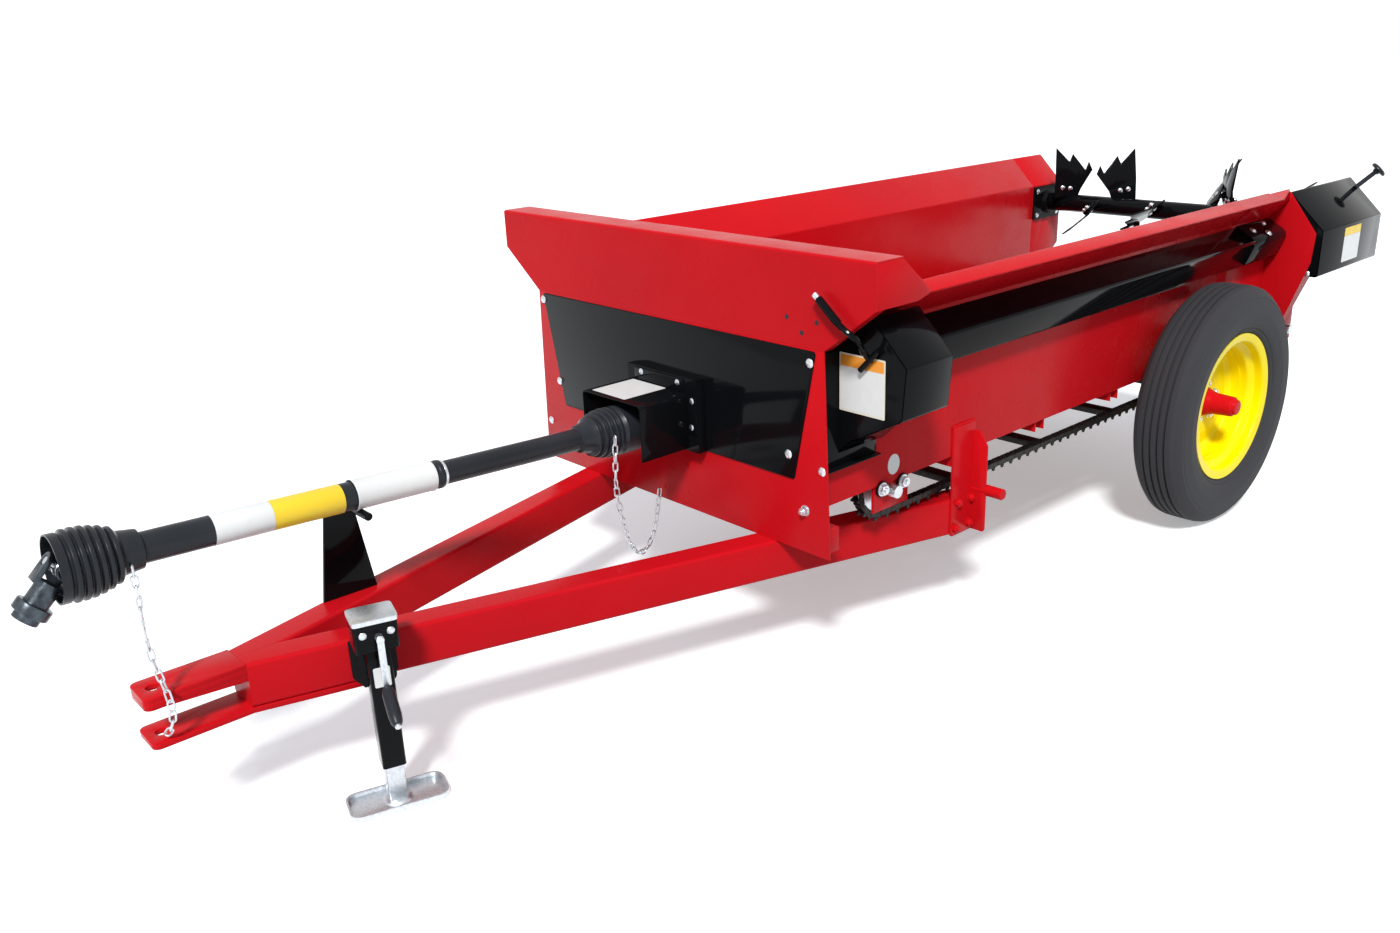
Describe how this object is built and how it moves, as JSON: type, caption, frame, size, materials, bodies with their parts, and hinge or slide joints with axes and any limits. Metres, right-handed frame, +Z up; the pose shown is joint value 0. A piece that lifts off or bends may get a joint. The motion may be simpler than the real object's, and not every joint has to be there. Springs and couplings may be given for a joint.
{
  "type": "pull-behind manure spreader",
  "caption": "Two-wheeled trailed spreader with a hollow load box, moving-floor apron, rear toothed beater, shaft drive, A-shaped tongue and swing-up jack.",
  "frame": {"origin": "on the floor, on the machine's middle plane, halfway along its length", "axes": "+Z up, -Y towards the hitch, +X the machine's left side"},
  "size_m": [1.455, 4.2838, 1.075],
  "materials": {
    "red_paint": "glossy red enamel",
    "yellow_paint": "satin yellow enamel",
    "black_paint": "glossy black enamel",
    "zinc_plate": "bright zinc plating",
    "chain_steel": "oiled bare steel",
    "black_plastic": "moulded black plastic",
    "tyre_rubber": "black rubber"
  },
  "bodies": {
    "frame": {"headboard": "red_paint", "front_plate": "red_paint", "front_crossmember": "red_paint", "side_wall_left": "red_paint", "side_wall_right": "red_paint", "wing_plate": "red_paint", "apron_front_deck": "red_paint", "floor_crossmembers": "red_paint", "axle": "red_paint", "spindle_left": "red_paint", "spindle_right": "red_paint", "tongue_rail_left": "red_paint", "tongue_rail_right": "red_paint", "hitch_upper": "red_paint", "hitch_lower": "red_paint", "rail_post_left": "red_paint", "rail_post_right": "red_paint", "apron_bearing_hangers": "red_paint", "floor": "red_paint", "front_shield": "black_paint", "pto_shield": "black_paint", "gearbox_cover": "black_paint", "gearbox": "black_paint", "cross_shaft_cover": "black_paint", "rear_chain_cover": "black_paint", "beater_bearings": "black_paint", "pto_stand": "black_paint", "front_chain_housing": "black_paint", "side_shaft_cover": "black_paint", "feed_lever": "black_paint", "jack_mount": "black_paint", "input_shaft": "zinc_plate", "apron_idler_shaft": "zinc_plate", "apron_drive_shaft": "zinc_plate", "apron_chain_left": "chain_steel", "apron_chain_right": "chain_steel", "apron_slats": "chain_steel", "guard_tube_rear": "black_plastic", "guard_tube_front": "black_plastic", "guard_bell_rear": "black_plastic", "guard_bell_front": "black_plastic", "cover_knob": "black_plastic"},
    "wheel_left": {"tyre_left": "tyre_rubber", "rim_left": "yellow_paint", "hub_left": "red_paint"},
    "wheel_right": {"tyre_right": "tyre_rubber", "rim_right": "yellow_paint", "hub_right": "red_paint"},
    "beater": {"beater_shaft": "black_paint", "beater_paddles": "black_paint"},
    "drive": {"pto_shaft": "zinc_plate", "pto_yoke": "zinc_plate"},
    "jack": {"jack_tube": "black_paint", "jack_cap": "zinc_plate"},
    "jack_leg": {"jack_leg": "zinc_plate"},
    "jack_crank": {"jack_crank": "zinc_plate"}
  },
  "joints": [
    {"name": "left_wheel_spin", "type": "hinge", "parent": "frame", "child": "wheel_left", "pos_m": [0.645, 1.10242, 0.375], "axis": [1, 0, 0], "continuous": true},
    {"name": "right_wheel_spin", "type": "hinge", "parent": "frame", "child": "wheel_right", "pos_m": [-0.645, 1.10242, 0.375], "axis": [1, 0, 0], "continuous": true},
    {"name": "beater_spin", "type": "hinge", "parent": "frame", "child": "beater", "pos_m": [0, 1.93742, 0.823], "axis": [1, 0, 0], "continuous": true},
    {"name": "drive_spin", "type": "hinge", "parent": "frame", "child": "drive", "pos_m": [0, -2.04555, 0.65753], "axis": [0, -0.9992, 0.0401], "continuous": true},
    {"name": "jack_swing", "type": "hinge", "parent": "frame", "child": "jack", "pos_m": [0.17981, -1.54958, 0.315], "axis": [0.9604, -0.2785, 0], "range_deg": [0, 90]},
    {"name": "jack_extend", "type": "slide", "parent": "jack", "child": "jack_leg", "axis": [0, 0, 1], "range_m": [-0.18, 0.08]},
    {"name": "crank_turn", "type": "hinge", "parent": "jack", "child": "jack_crank", "pos_m": [0.23744, -1.56629, 0.417], "axis": [0.9604, -0.2785, 0], "continuous": true}
  ]
}
